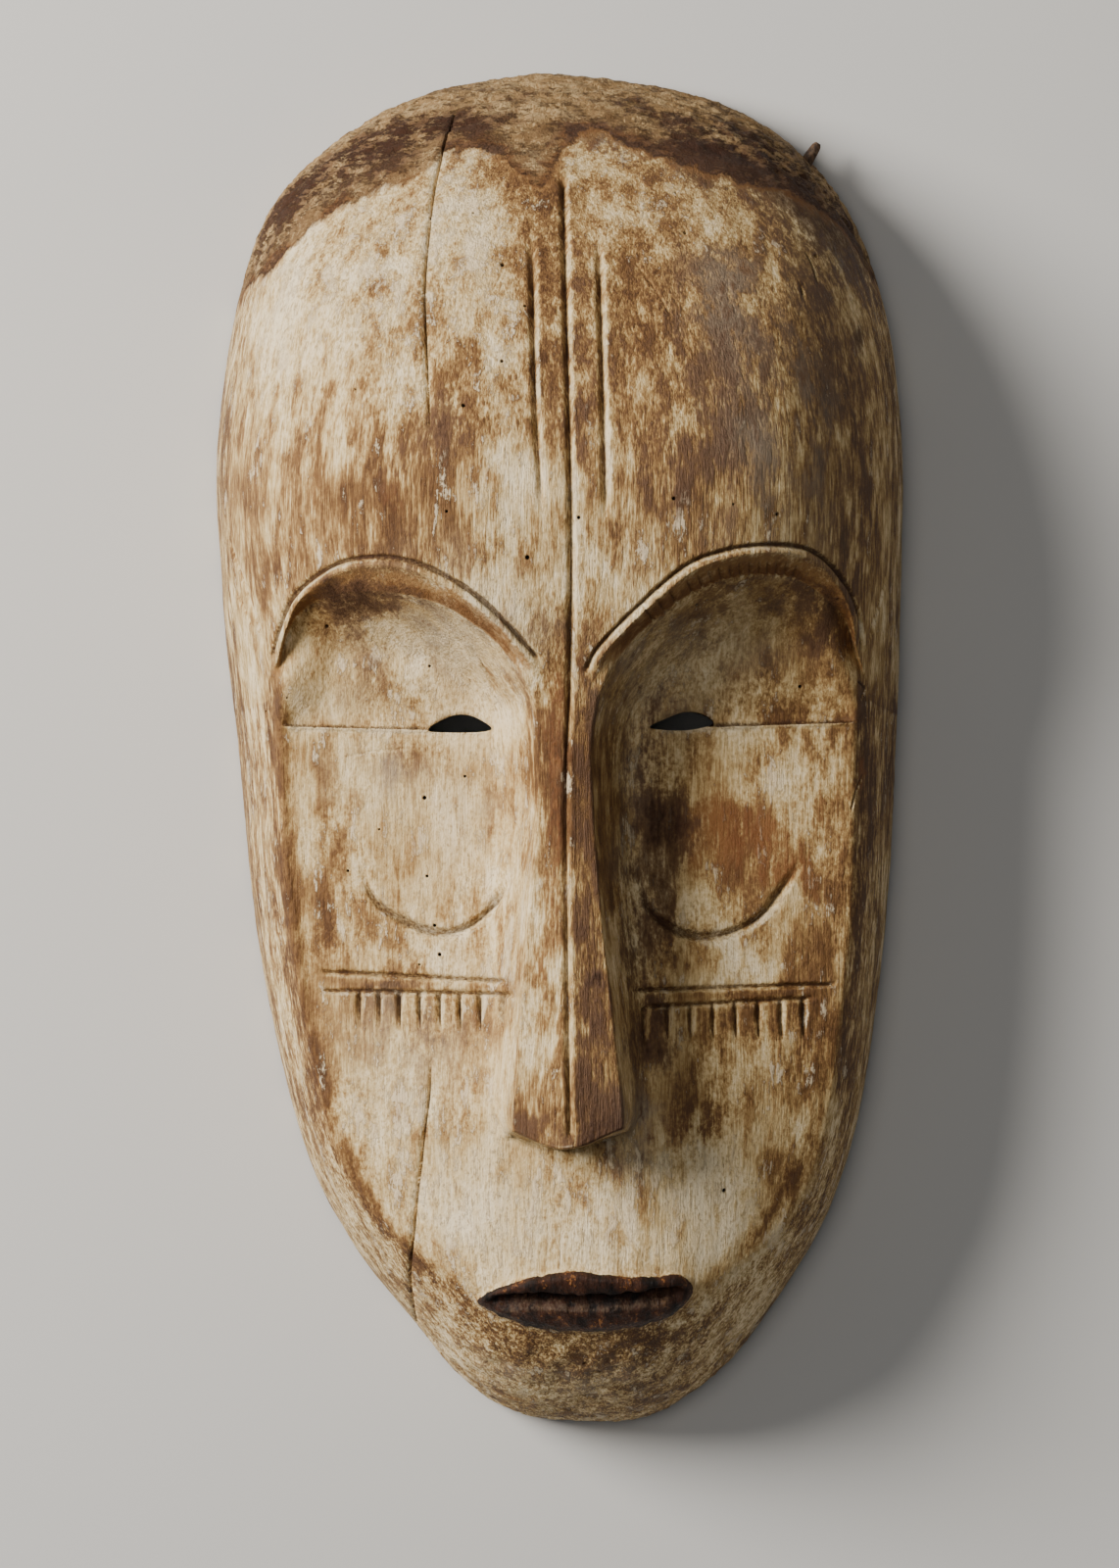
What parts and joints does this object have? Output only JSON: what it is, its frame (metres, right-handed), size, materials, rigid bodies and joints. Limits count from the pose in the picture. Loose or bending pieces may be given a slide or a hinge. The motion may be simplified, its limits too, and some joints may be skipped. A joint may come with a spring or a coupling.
{
  "type": "fang mask",
  "caption": "Long carved wooden face mask in the Fang manner: high domed forehead, sunken heart-shaped face, long ridged nose, eye slits and small dark mouth, hollow behind.",
  "frame": {"origin": "middle of the mask's bounding box, on the plane of the rim that it rests on", "axes": "+X to the right of someone looking at the face, +Y towards the crown, +Z out of the face"},
  "size_m": [0.28, 0.55, 0.1497],
  "materials": {
    "clay_white_wood": "light wood under worn white clay, rubbed brown on the nose, brows and borders, near black on the lips",
    "peg_wood": "dark weathered wood"
  },
  "bodies": {
    "root": {"mask": "clay_white_wood", "peg": "peg_wood"}
  },
  "joints": []
}
